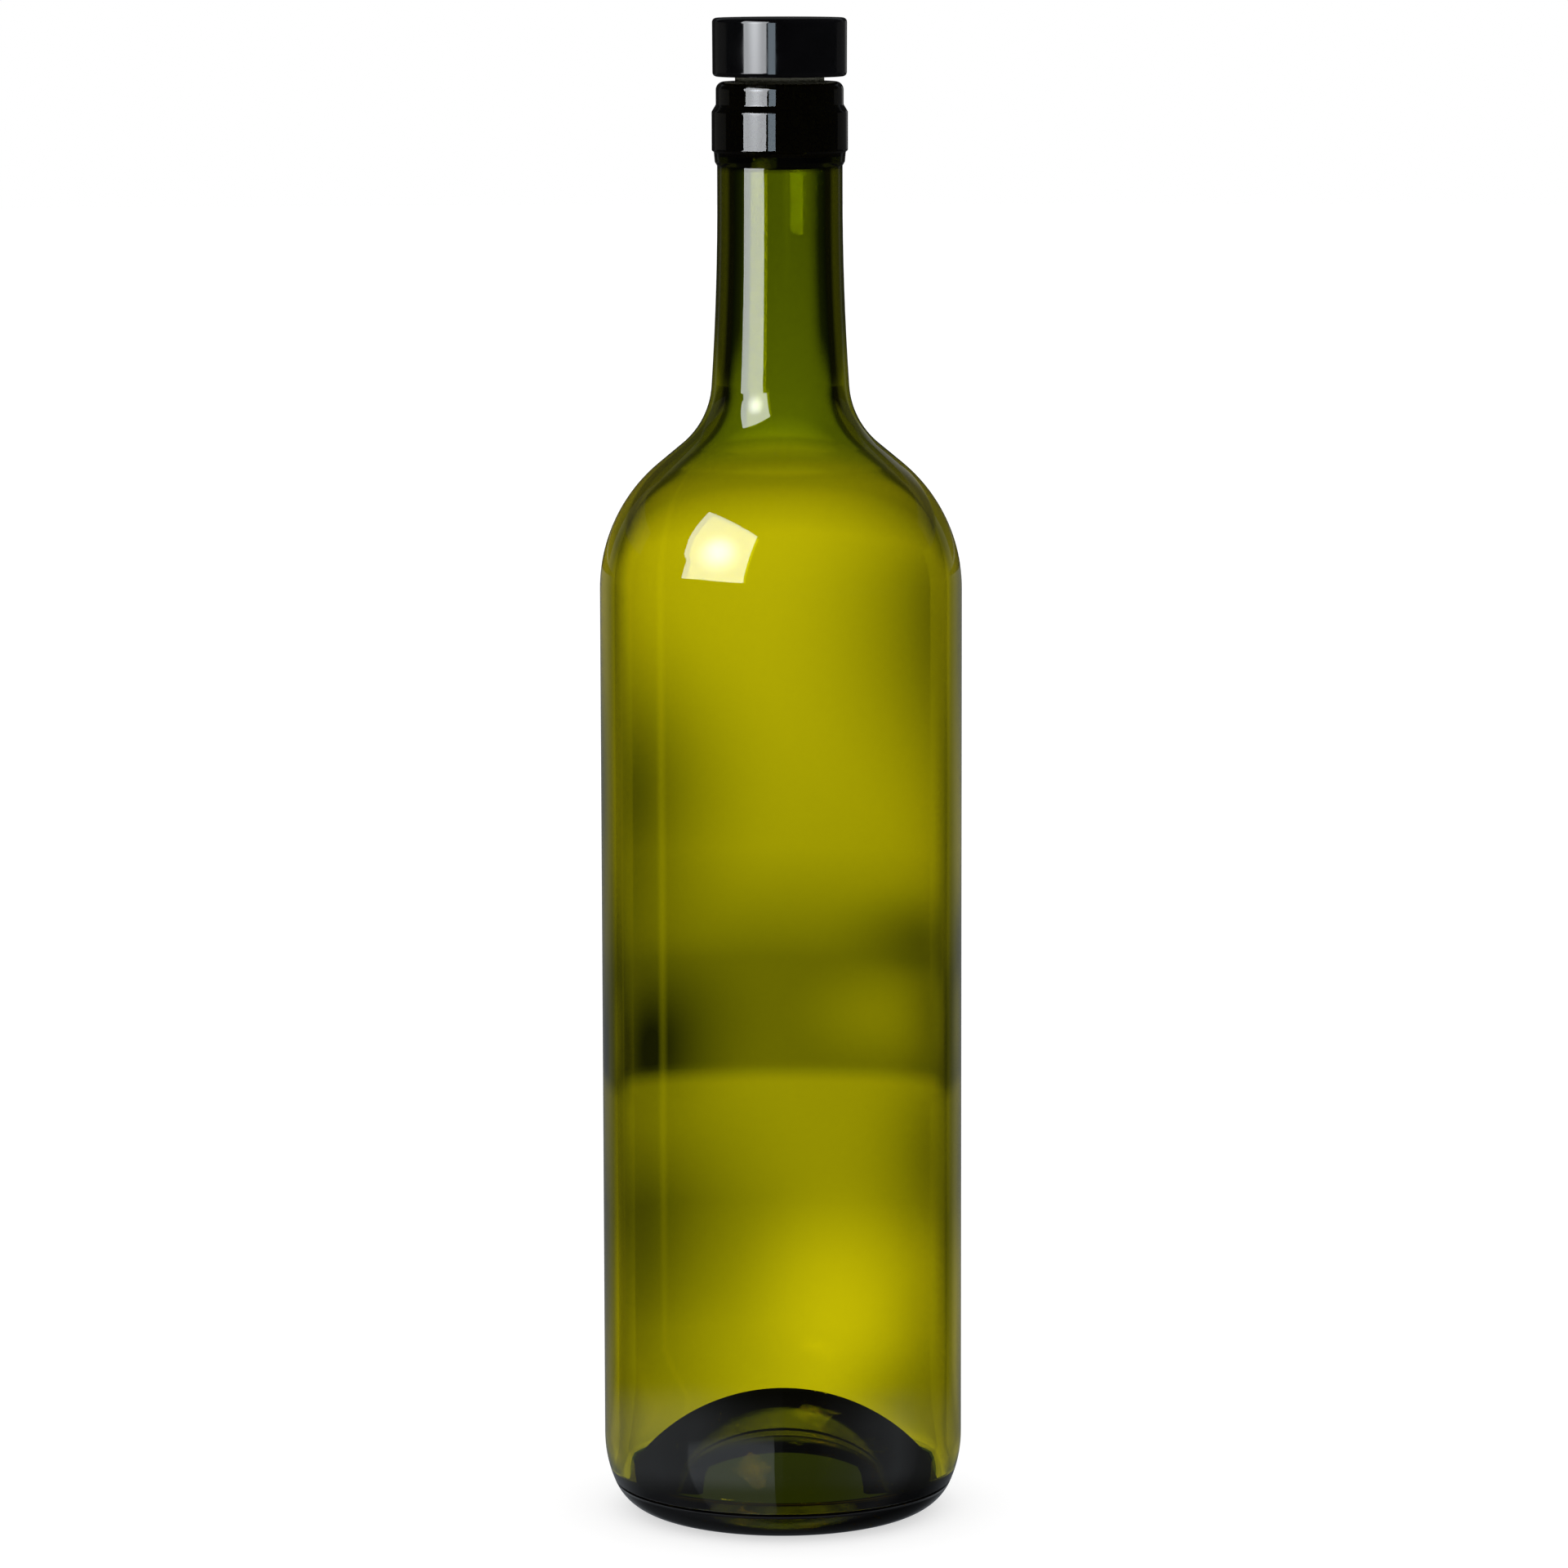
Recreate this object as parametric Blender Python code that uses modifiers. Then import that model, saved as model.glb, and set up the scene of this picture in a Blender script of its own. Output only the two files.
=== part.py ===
"""Corked glass bottle of 75 cl: a tall green bottle with a punt, closed by a capped stopper.

Three pieces: the blown glass, the stopper's cork, and the black cap that is glued over the cork's head.
Metres, +Z up. The origin is the middle of the base, in the plane that the bottle stands on.
"""
from math import acos, asin, atan2, ceil, cos, pi, sin, sqrt, tan

import bmesh
import bpy
from mathutils import Matrix, Vector

# The glass: body, shoulder and neck
BODY_RADIUS = 0.0375
BODY_WALL = 0.0030
SHOULDER_HEIGHT = 0.2102       # where the shoulder's slope, drawn on, meets the body's side
SHOULDER_ROUND = 0.0337
NECK_BASE_RADIUS = 0.0147      # where the neck turns out into the shoulder
NECK_BASE_HEIGHT = 0.2291
NECK_BASE_ROUND = 0.0169
NECK_RADIUS = 0.0129           # just under the mouth's rings
NECK_FLARE_HEIGHT = 0.2564     # the neck is straight above this, and widens below it
NECK_FLARE_ROUND = 0.5950
BORE_RADIUS = 0.0094           # inside of the mouth and the upper neck
BORE_BASE_RADIUS = 0.0114      # inside of the neck where it meets the shoulder
BORE_FLARE_ROUND = 0.4500
MOUTH_TOP = 0.2988
MOUTH_EDGE_ROUND = 0.0006

# The mouth's rings, from the lip down
LIP_RADIUS = 0.01313
LIP_ROUND = 0.0017
LIP_BASE = 0.29410
RING_RADIUS = 0.01400
RING_TOP = 0.29265
RING_BASE = 0.28475
BEAD_RADIUS = 0.01356
BEAD_TOP = 0.28440
BEAD_BASE_RADIUS = 0.01338
BEAD_BASE = 0.28240
BEAD_FOOT = 0.28160            # where the bead's underside meets the neck

# The base: heel, flat ring to stand on, and punt
HEEL_HEIGHT = 0.0107
HEEL_SIDE_ROUND = 0.0248
HEEL_RADIUS = 0.0327
HEEL_FOOT_ROUND = 0.0101
STAND_INNER_RADIUS = 0.0240    # inner edge of the flat ring
PUNT_HEIGHT = 0.0187
FLOOR_HEIGHT = 0.0242          # top of the glass over the punt
FLOOR_ROUND = 0.0410
GROOVE_ROUND = 0.0014          # bottom of the groove between the floor and the wall

# The stopper, with lengths measured down from the underside of the cork's head
CAP_RADIUS = 0.01385
CAP_RIM_RADIUS = 0.01380
CAP_TOP = 0.3118
CAP_BASE = 0.2998
CAP_WALL = 0.0015
CAP_TOP_ROUND = 0.0009
CAP_RIM_ROUND = 0.0009
HEAD_RECESS = 0.0004           # the head lies this far inside the cap's rim
COLLAR_RADIUS = 0.0091
COLLAR_LENGTH = 0.0050
SHANK_RADIUS = 0.0089
SHANK_LENGTH = 0.0192
TIP_ROUND = 0.0032
SLOT_WIDTH = 0.0027
SLOT_DEPTH = 0.0015
SLOT_START = 0.0055            # the square end
SLOT_END = 0.0150              # the round end

GLUE_GAP = 0.0003              # between the cap and the cork's head
STEPS = 48                     # facets round a turned piece
CHORD_ERROR = 0.0001           # how far a facet may leave a round outline
MERGE = 0.00001

GREEN_GLASS = (0.42, 0.40, 0.02)
CORK_BEIGE = (0.72, 0.52, 0.26)
CAP_BLACK = (0.012, 0.013, 0.015)


def arc(centre, start, sweep):
    """Points along an arc that turns from start about centre, anticlockwise for a sweep over 0."""
    spoke = Vector(start) - Vector(centre)
    widest = 2 * acos(1 - CHORD_ERROR / spoke.length)
    count = max(2, ceil(abs(sweep) / widest))
    return [Vector(centre) + Matrix.Rotation(sweep * k / count, 2) @ spoke for k in range(count + 1)]


def fillet(before, corner, after, radius):
    """The arc that rounds a corner between two straight stretches of an outline."""
    to_before = (before - corner).normalized()
    to_after = (after - corner).normalized()
    half = to_before.angle(to_after) / 2
    centre = corner + (to_before + to_after).normalized() * radius / sin(half)
    start = corner + to_before * radius / tan(half)
    turns_left = to_before.x * to_after.y - to_before.y * to_after.x < 0
    return arc(centre, start, (pi - 2 * half) * (1 if turns_left else -1))


def outline(corners):
    """Points of an outline from its corners, each (radius, height) or (radius, height, round)."""
    points = []
    for place, (radius, height, *rounding) in enumerate(corners):
        corner = Vector((radius, height))
        if rounding:
            before = Vector(corners[place - 1][:2])
            after = Vector(corners[place + 1][:2])
            points += fillet(before, corner, after, rounding[0])
        else:
            points.append(corner)
    return points


def dome(top, radius, edge):
    """Points of a round dome from its top on the axis out to its edge radius."""
    return arc((0, top - radius), (0, top), -asin(edge / radius))


def shoulder_inside(radius):
    """Height of the shoulder's inner slope at a radius, one wall below the outer slope."""
    slope = atan2(NECK_BASE_HEIGHT - SHOULDER_HEIGHT, BODY_RADIUS - NECK_BASE_RADIUS)
    return SHOULDER_HEIGHT + (BODY_RADIUS - radius) * tan(slope) - BODY_WALL / cos(slope)


def glass_floor():
    """The domed floor inside, and the groove that runs round it to the wall."""
    groove_radius = BODY_RADIUS - BODY_WALL - GROOVE_ROUND
    dome_centre = Vector((0, FLOOR_HEIGHT - FLOOR_ROUND))
    rise = sqrt((FLOOR_ROUND + GROOVE_ROUND) ** 2 - groove_radius ** 2)
    groove_centre = dome_centre + Vector((groove_radius, rise))
    tilt = atan2(rise, groove_radius)
    floor = dome(FLOOR_HEIGHT, FLOOR_ROUND, FLOOR_ROUND * cos(tilt))
    groove = arc(groove_centre, floor[-1], pi - tilt)
    return floor + groove[1:]


def bottle_outline():
    """The glass from its floor up the inside, over the lip and down the outside to the punt."""
    inner_radius = BODY_RADIUS - BODY_WALL
    floor = glass_floor()
    side = outline([
        tuple(floor[-1]),
        (inner_radius, shoulder_inside(inner_radius), SHOULDER_ROUND - BODY_WALL),
        (BORE_BASE_RADIUS, shoulder_inside(BORE_BASE_RADIUS), NECK_BASE_ROUND + BODY_WALL),
        (BORE_RADIUS, NECK_FLARE_HEIGHT, BORE_FLARE_ROUND),
        (BORE_RADIUS, MOUTH_TOP, MOUTH_EDGE_ROUND),
        (LIP_RADIUS, MOUTH_TOP, LIP_ROUND),
        (LIP_RADIUS, LIP_BASE),
        (RING_RADIUS, RING_TOP),
        (RING_RADIUS, RING_BASE),
        (BEAD_RADIUS, BEAD_TOP),
        (BEAD_BASE_RADIUS, BEAD_BASE),
        (NECK_RADIUS, BEAD_FOOT),
        (NECK_RADIUS, NECK_FLARE_HEIGHT, NECK_FLARE_ROUND),
        (NECK_BASE_RADIUS, NECK_BASE_HEIGHT, NECK_BASE_ROUND),
        (BODY_RADIUS, SHOULDER_HEIGHT, SHOULDER_ROUND),
        (BODY_RADIUS, HEEL_HEIGHT, HEEL_SIDE_ROUND),
        (HEEL_RADIUS, 0, HEEL_FOOT_ROUND),
        (STAND_INNER_RADIUS, 0),
    ])
    punt_round = (STAND_INNER_RADIUS ** 2 + PUNT_HEIGHT ** 2) / (2 * PUNT_HEIGHT)
    punt = dome(PUNT_HEIGHT, punt_round, STAND_INNER_RADIUS)
    return floor[:-1] + side[:-1] + punt[::-1]


def cap_outline():
    """The cap from its top's middle, down the side and round the rim to its ceiling, base at 0."""
    top = CAP_TOP - CAP_BASE
    inner_radius = CAP_RADIUS - CAP_WALL
    return outline([
        (0, top),
        (CAP_RADIUS, top, CAP_TOP_ROUND),
        (CAP_RIM_RADIUS, 0, CAP_RIM_ROUND),
        (inner_radius, 0),
        (inner_radius, top - CAP_WALL),
        (0, top - CAP_WALL),
    ])


def cork_outline():
    """The cork from its head's top to its tip, with the head's underside at 0."""
    head_radius = CAP_RADIUS - CAP_WALL - GLUE_GAP
    head_top = CAP_TOP - CAP_WALL - GLUE_GAP - CAP_BASE - HEAD_RECESS
    collar_step = COLLAR_RADIUS - SHANK_RADIUS
    return outline([
        (0, head_top),
        (head_radius, head_top),
        (head_radius, 0),
        (COLLAR_RADIUS, 0),
        (COLLAR_RADIUS, -COLLAR_LENGTH),
        (SHANK_RADIUS, -COLLAR_LENGTH - collar_step),
        (SHANK_RADIUS, -SHANK_LENGTH, TIP_ROUND),
        (0, -SHANK_LENGTH),
    ])


def principled(name, colour, roughness, transmission=0.0):
    """A material for one of the pieces."""
    made = bpy.data.materials.new(name)
    made.use_nodes = True
    shader = made.node_tree.nodes["Principled BSDF"]
    shader.inputs["Base Color"].default_value = (*colour, 1)
    shader.inputs["Roughness"].default_value = roughness
    shader.inputs["Metallic"].default_value = 0.0
    shader.inputs["Transmission Weight"].default_value = transmission
    return made


def turned(name, points, finish, stand, collection):
    """A piece turned about the Z axis from an outline that runs down its outer side."""
    profile = bmesh.new()
    corners = [profile.verts.new((point.x, 0, point.y)) for point in points]
    for upper, lower in zip(corners, corners[1:]):
        profile.edges.new((upper, lower))
    mesh = bpy.data.meshes.new(name)
    profile.to_mesh(mesh)
    profile.free()
    mesh.materials.append(finish)
    piece = bpy.data.objects.new(name, mesh)
    piece.parent = stand
    collection.objects.link(piece)
    turn = piece.modifiers.new("turn", "SCREW")
    turn.steps = STEPS
    turn.render_steps = STEPS
    turn.use_merge_vertices = True
    turn.merge_threshold = MERGE
    turn.use_smooth_shade = True
    return piece


def cut_slot(cork, collection):
    """Takes the slot out of the shank's back, square at the head's end and round at the other."""
    deep = SHANK_RADIUS - SLOT_DEPTH
    proud = COLLAR_RADIUS + SLOT_DEPTH
    length = SLOT_END - SLOT_START
    shape = bmesh.new()
    bmesh.ops.create_cube(shape, size=1)
    bmesh.ops.scale(shape, vec=(SLOT_WIDTH, proud - deep, length), verts=shape.verts)
    lower = [edge for edge in shape.edges
             if all(vert.co.z < 0 for vert in edge.verts) and edge.verts[0].co.x == edge.verts[1].co.x]
    bmesh.ops.bevel(shape, geom=lower, offset=SLOT_WIDTH * 0.49, segments=6, profile=0.5,
                    affect="EDGES", material=-1)
    mesh = bpy.data.meshes.new("slot")
    shape.to_mesh(mesh)
    shape.free()
    slot = bpy.data.objects.new("slot", mesh)
    slot.location = (0, (deep + proud) / 2, -(SLOT_START + SLOT_END) / 2)
    slot.parent = cork
    slot.hide_render = True
    slot.display_type = "WIRE"
    collection.objects.link(slot)
    cut = cork.modifiers.new("slot", "BOOLEAN")
    cut.operation = "DIFFERENCE"
    cut.solver = "EXACT"
    cut.object = slot


def new_collection(name):
    """A collection in the scene."""
    made = bpy.data.collections.new(name)
    bpy.context.scene.collection.children.link(made)
    return made


def main():
    """Builds the bottle, its stopper and the empty that carries them."""
    for old in list(bpy.data.objects):
        bpy.data.objects.remove(old, do_unlink=True)
    parts = new_collection("corked glass bottle")
    cutters = new_collection("cutters")
    stand = bpy.data.objects.new("base_centre", None)
    parts.objects.link(stand)

    glass = principled("olive green glass", GREEN_GLASS, 0.02, transmission=1.0)
    beige = principled("beige moulded cork", CORK_BEIGE, 0.75)
    black = principled("black gloss plastic", CAP_BLACK, 0.12)

    turned("glass_bottle", bottle_outline(), glass, stand, parts)
    cork = turned("stopper_cork", cork_outline(), beige, stand, parts)
    cork.location.z = CAP_BASE + HEAD_RECESS
    cut_slot(cork, cutters)
    cap = turned("stopper_cap", cap_outline(), black, stand, parts)
    cap.location.z = CAP_BASE


main()
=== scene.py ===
"""Looks of a corked glass bottle: blown olive glass, a cork stopper and its black moulded cap."""
from math import acos, asin, atan2, ceil, cos, pi, radians, sin, sqrt, tan

import bmesh
import bpy
from mathutils import Matrix, Vector


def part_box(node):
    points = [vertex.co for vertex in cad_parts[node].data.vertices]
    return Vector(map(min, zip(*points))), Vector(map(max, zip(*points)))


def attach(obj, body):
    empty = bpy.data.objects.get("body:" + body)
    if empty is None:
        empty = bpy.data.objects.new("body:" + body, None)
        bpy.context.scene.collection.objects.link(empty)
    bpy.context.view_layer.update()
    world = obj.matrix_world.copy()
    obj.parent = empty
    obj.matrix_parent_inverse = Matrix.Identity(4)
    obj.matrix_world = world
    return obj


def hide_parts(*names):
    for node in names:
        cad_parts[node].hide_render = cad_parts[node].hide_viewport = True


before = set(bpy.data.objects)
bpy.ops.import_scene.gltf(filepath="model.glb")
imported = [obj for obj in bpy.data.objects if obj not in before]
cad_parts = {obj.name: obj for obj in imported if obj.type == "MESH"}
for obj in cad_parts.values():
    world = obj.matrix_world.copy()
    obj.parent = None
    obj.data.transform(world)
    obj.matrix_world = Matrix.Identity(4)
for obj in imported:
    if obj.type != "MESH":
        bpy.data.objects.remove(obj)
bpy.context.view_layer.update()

SCENE = bpy.context.scene
MM = 0.001

# Camera: a long lens a little above the bottle, as the photograph was taken
LENS_MM = 150.1
SENSOR_MM = 36.0
CAMERA_PLACE = (0.00054, -1.3480, 0.3350)
CAMERA_TILT = 7.673       # degrees below level
CAMERA_ROLL = -0.142      # degrees, the photograph's own small lean
VIEW_REACH = 50           # metres

# Glass outline, in metres from the frame's base
BODY_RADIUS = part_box("glass_bottle")[1].x
MOUTH_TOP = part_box("glass_bottle")[1].z
BODY_WALL = 3.0 * MM
SHOULDER_HEIGHT = 210.2 * MM
SHOULDER_ROUND = 33.7 * MM
NECK_BASE_RADIUS = 14.7 * MM
NECK_BASE_HEIGHT = 229.1 * MM
NECK_BASE_ROUND = 16.9 * MM
NECK_RADIUS = 12.9 * MM
NECK_FLARE_HEIGHT = 256.4 * MM
NECK_FLARE_ROUND = 595 * MM
BORE_RADIUS = 9.4 * MM
BORE_BASE_RADIUS = 11.4 * MM
BORE_FLARE_ROUND = 450 * MM
MOUTH_EDGE_ROUND = 0.6 * MM
LIP_RADIUS = 13.13 * MM
LIP_ROUND = 1.7 * MM
LIP_BASE = 294.1 * MM
RING_RADIUS = 14.0 * MM
RING_TOP = 292.65 * MM
RING_BASE = 284.75 * MM
BEAD_RADIUS = 13.56 * MM
BEAD_TOP = 284.4 * MM
BEAD_BASE_RADIUS = 13.38 * MM
BEAD_BASE = 282.4 * MM
BEAD_FOOT = 281.6 * MM
HEEL_HEIGHT = 10.7 * MM
HEEL_SIDE_ROUND = 24.8 * MM
HEEL_RADIUS = 32.7 * MM
HEEL_FOOT_ROUND = 10.1 * MM
STAND_INNER_RADIUS = 24.0 * MM
PUNT_HEIGHT = 18.7 * MM
FLOOR_HEIGHT = 24.2 * MM
FLOOR_ROUND = 41.0 * MM
GROOVE_ROUND = 1.4 * MM

# Stopper
CAP_RADIUS = 13.85 * MM
CAP_RIM_RADIUS = 13.8 * MM
CAP_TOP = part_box("stopper_cap")[1].z
CAP_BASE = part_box("stopper_cap")[0].z
CAP_WALL = 1.5 * MM
CAP_EDGE_ROUND = 0.9 * MM
HEAD_BASE = CAP_BASE + 0.4 * MM
COLLAR_RADIUS = 9.18 * MM                  # of the cork between its head and the mouth
SHANK_RADIUS = BORE_RADIUS + 0.05 * MM     # just into the glass, so that no air gap shows
CORK_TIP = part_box("stopper_cork")[0].z
CORK_TIP_ROUND = 3.2 * MM
SLOT_WIDTH = 2.7 * MM
SLOT_DEPTH = 1.5 * MM
SLOT_START = 5.5 * MM      # both ends are measured down from the head
SLOT_END = 15.0 * MM

ACROSS = Vector((0, 1, 0))      # outlines are drawn in the plane across this
UP = Vector((0, 0, 1))
CHORD_ERROR = 0.006 * MM        # how far a facet may leave a round outline
LONGEST_RUN = 4.0 * MM          # the longest edge along a straight stretch of the glass
HOLD = 0.15 * MM                # the short edge that keeps a round's shading out of a straight run
SHORTEST_HELD = 0.9 * MM        # the shortest run that has them
GLASS_STEPS = 240               # faces round the axis
STOPPER_STEPS = 160


def point(radius, height):
    """A place in the outline's plane."""
    return Vector((radius, 0, height))


def straight_to(shape, tip, place):
    """Draws a straight run of an outline from its tip, a long one with a short edge at both ends."""
    run = place - tip.co
    hold = run.normalized() * HOLD
    stops = [tip.co + hold, place - hold, place] if run.length > SHORTEST_HELD else [place]
    for stop in stops:
        tip = bmesh.ops.extrude_vert_indiv(shape, verts=[tip])["verts"][0]
        tip.co = stop
    return tip


def arc_about(shape, tip, centre, sweep):
    """Draws an arc of an outline from its tip, upwards from +X for a sweep over 0."""
    radius = (tip.co - centre).length
    steps = max(3, ceil(abs(sweep) / (2 * acos(1 - CHORD_ERROR / radius))))
    swept = bmesh.ops.spin(shape, geom=[tip], cent=centre, axis=-ACROSS, angle=sweep, steps=steps)
    return swept["geom_last"][0]


def draw(shape, tip, corners):
    """Draws an outline on from its tip through corners, each (radius, height) or with a round."""
    for place, (radius, height, *rounding) in enumerate(corners):
        corner = point(radius, height)
        if not rounding:
            tip = straight_to(shape, tip, corner)
            continue
        to_before = (tip.co - corner).normalized()
        to_after = (point(*corners[place + 1][:2]) - corner).normalized()
        half = to_before.angle(to_after) / 2
        centre = corner + (to_before + to_after).normalized() * rounding[0] / sin(half)
        tip = straight_to(shape, tip, corner + to_before * rounding[0] / tan(half))
        turns_up = to_before.x * to_after.z - to_before.z * to_after.x < 0
        tip = arc_about(shape, tip, centre, (pi - 2 * half) * (1 if turns_up else -1))
    return tip


def shoulder_inside(radius):
    """Height of the shoulder's inner slope at a radius, one wall below the outer slope."""
    slope = atan2(NECK_BASE_HEIGHT - SHOULDER_HEIGHT, BODY_RADIUS - NECK_BASE_RADIUS)
    return SHOULDER_HEIGHT + (BODY_RADIUS - radius) * tan(slope) - BODY_WALL / cos(slope)


def split_long_edges(shape):
    """Divides the long straight runs of an outline."""
    for edge in list(shape.edges):
        cuts = ceil(edge.calc_length() / LONGEST_RUN) - 1
        if cuts > 0:
            bmesh.ops.subdivide_edges(shape, edges=[edge], cuts=cuts)


def glass_inside(shape):
    """The outline of the inside, from the floor's top to the mouth's edge."""
    inner_radius = BODY_RADIUS - BODY_WALL
    groove_radius = inner_radius - GROOVE_ROUND
    dome_centre = point(0, FLOOR_HEIGHT - FLOOR_ROUND)
    rise = sqrt((FLOOR_ROUND + GROOVE_ROUND) ** 2 - groove_radius ** 2)
    tilt = atan2(rise, groove_radius)
    tip = shape.verts.new(point(0, FLOOR_HEIGHT))
    tip = arc_about(shape, tip, dome_centre, tilt - pi / 2)
    tip = arc_about(shape, tip, dome_centre + point(groove_radius, rise), pi - tilt)
    draw(shape, tip, [
        (inner_radius, shoulder_inside(inner_radius), SHOULDER_ROUND - BODY_WALL),
        (BORE_BASE_RADIUS, shoulder_inside(BORE_BASE_RADIUS), NECK_BASE_ROUND + BODY_WALL),
        (BORE_RADIUS, NECK_FLARE_HEIGHT, BORE_FLARE_ROUND),
        (BORE_RADIUS, MOUTH_TOP, MOUTH_EDGE_ROUND),
        (BORE_RADIUS + MOUTH_EDGE_ROUND * 1.5, MOUTH_TOP),
    ])


def glass_outside(shape):
    """The outline of the outside, from the mouth's edge to the top of the punt."""
    punt_round = (STAND_INNER_RADIUS ** 2 + PUNT_HEIGHT ** 2) / (2 * PUNT_HEIGHT)
    tip = shape.verts.new(point(BORE_RADIUS + MOUTH_EDGE_ROUND * 1.5, MOUTH_TOP))
    tip = draw(shape, tip, [
        (LIP_RADIUS, MOUTH_TOP, LIP_ROUND),
        (LIP_RADIUS, LIP_BASE, 0.5 * MM),
        (RING_RADIUS, RING_TOP, 0.7 * MM),
        (RING_RADIUS, RING_BASE, 0.3 * MM),
        (BEAD_RADIUS, BEAD_TOP, 0.3 * MM),
        (BEAD_BASE_RADIUS, BEAD_BASE, 0.6 * MM),
        (NECK_RADIUS, BEAD_FOOT, 0.4 * MM),
        (NECK_RADIUS, NECK_FLARE_HEIGHT, NECK_FLARE_ROUND),
        (NECK_BASE_RADIUS, NECK_BASE_HEIGHT, NECK_BASE_ROUND),
        (BODY_RADIUS, SHOULDER_HEIGHT, SHOULDER_ROUND),
        (BODY_RADIUS, HEEL_HEIGHT, HEEL_SIDE_ROUND),
        (HEEL_RADIUS, 0, HEEL_FOOT_ROUND),
        (STAND_INNER_RADIUS, 0),
    ])
    arc_about(shape, tip, point(0, PUNT_HEIGHT - punt_round), asin(STAND_INNER_RADIUS / punt_round))


def spin_round(shape, steps):
    """Spins an outline once round the bottle's axis."""
    bmesh.ops.spin(shape, geom=list(shape.verts) + list(shape.edges), cent=(0, 0, 0), axis=UP,
                   angle=2 * pi, steps=steps, use_merge=True)


def new_object(name, shape):
    """Makes a shape an object of the scene."""
    mesh = bpy.data.meshes.new(name)
    shape.to_mesh(mesh)
    shape.free()
    made = bpy.data.objects.new(name, mesh)
    SCENE.collection.objects.link(made)
    return made


def finished(name, shape):
    """Makes a closed shape an object, smooth, with its faces outwards."""
    bmesh.ops.remove_doubles(shape, verts=shape.verts, dist=0.0005 * MM)
    bmesh.ops.recalc_face_normals(shape, faces=shape.faces)
    piece = new_object(name, shape)
    piece.data.shade_smooth()
    return piece


def make_glass():
    """The blown bottle as one closed solid of glass."""
    shape = bmesh.new()
    for outline in (glass_inside, glass_outside):
        part = bmesh.new()
        outline(part)
        split_long_edges(part)
        spin_round(part, GLASS_STEPS)
        held = bpy.data.meshes.new("held")
        part.to_mesh(held)
        part.free()
        shape.from_mesh(held)
        bpy.data.meshes.remove(held)
    return finished("bottle_glass", shape)


def make_cap():
    """The cap, a moulded cup with softened edges."""
    inner_radius = CAP_RADIUS - CAP_WALL
    shape = bmesh.new()
    tip = shape.verts.new(point(0, CAP_TOP))
    draw(shape, tip, [
        (CAP_RADIUS, CAP_TOP, CAP_EDGE_ROUND),
        (CAP_RIM_RADIUS, CAP_BASE, CAP_EDGE_ROUND),
        (inner_radius, CAP_BASE, 0.15 * MM),
        (inner_radius, CAP_TOP - CAP_WALL),
        (0, CAP_TOP - CAP_WALL),
    ])
    spin_round(shape, STOPPER_STEPS)
    return finished("cap_shell", shape)


def make_cork():
    """The cork: a head under the cap and a shank that is pressed into the bore."""
    shape = bmesh.new()
    head_radius = CAP_RADIUS - CAP_WALL - 0.1 * MM
    head_top = CAP_TOP - CAP_WALL - 0.2 * MM
    tip = shape.verts.new(point(0, head_top))
    draw(shape, tip, [
        (head_radius, head_top),
        (head_radius, HEAD_BASE, 0.2 * MM),
        (COLLAR_RADIUS, HEAD_BASE, 0.3 * MM),
        (COLLAR_RADIUS, MOUTH_TOP - 0.3 * MM, 0.4 * MM),
        (SHANK_RADIUS, MOUTH_TOP - 1.2 * MM, 0.4 * MM),
        (SHANK_RADIUS, CORK_TIP, CORK_TIP_ROUND),
        (0, CORK_TIP),
    ])
    spin_round(shape, STOPPER_STEPS)
    cork = finished("cork_stopper", shape)
    # the slot in the shank, square above and round below
    shape = bmesh.new()
    round_centre = point(0, HEAD_BASE - SLOT_END + SLOT_WIDTH / 2)
    tip = shape.verts.new(point(SLOT_WIDTH / 2, HEAD_BASE - SLOT_START))
    tip = straight_to(shape, tip, round_centre + point(SLOT_WIDTH / 2, 0))
    tip = arc_about(shape, tip, round_centre, -pi)
    straight_to(shape, tip, point(-SLOT_WIDTH / 2, HEAD_BASE - SLOT_START))
    face = bmesh.ops.contextual_create(shape, geom=list(shape.verts))["faces"]
    bmesh.ops.translate(shape, verts=shape.verts, vec=ACROSS * (BORE_RADIUS - SLOT_DEPTH))
    pulled = bmesh.ops.extrude_face_region(shape, geom=face)["geom"]
    bmesh.ops.translate(shape, verts=[part for part in pulled if isinstance(part, bmesh.types.BMVert)],
                        vec=ACROSS * 2 * SLOT_DEPTH)
    cutter = finished("slot_cutter", shape)
    cut = cork.modifiers.new("slot", "BOOLEAN")
    cut.operation = "DIFFERENCE"
    cut.solver = "EXACT"
    cut.object = cutter
    carved = bpy.data.meshes.new_from_object(cork.evaluated_get(bpy.context.evaluated_depsgraph_get()))
    cork.modifiers.remove(cut)
    bpy.data.objects.remove(cutter)
    cork.data = carved
    return cork


def linear(hex_colour):
    """A linear colour from an sRGB hex value."""
    parts = [int(hex_colour[place:place + 2], 16) / 255 for place in (0, 2, 4)]
    return (*[part / 12.92 if part <= 0.04045 else ((part + 0.055) / 1.055) ** 2.4 for part in parts], 1)


def add(tree, kind, inputs=None, stops=(), **settings):
    """Adds a node with its settings, and sets or links its inputs. Stops are a colour ramp's, each
    (place from 0 to 1, level), with the first at 0 and the last at 1."""
    made = tree.nodes.new(kind)
    for name, value in settings.items():
        setattr(made, name, value)
    for index, (place, level) in enumerate(stops):
        marks = made.color_ramp.elements
        mark = marks[0] if index == 0 else marks[-1] if index == len(stops) - 1 else marks.new(place)
        mark.color = (level, level, level, 1)
    for name, value in (inputs or {}).items():
        if isinstance(value, bpy.types.NodeSocket):
            tree.links.new(value, made.inputs[name])
        else:
            made.inputs[name].default_value = value
    return made


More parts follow.
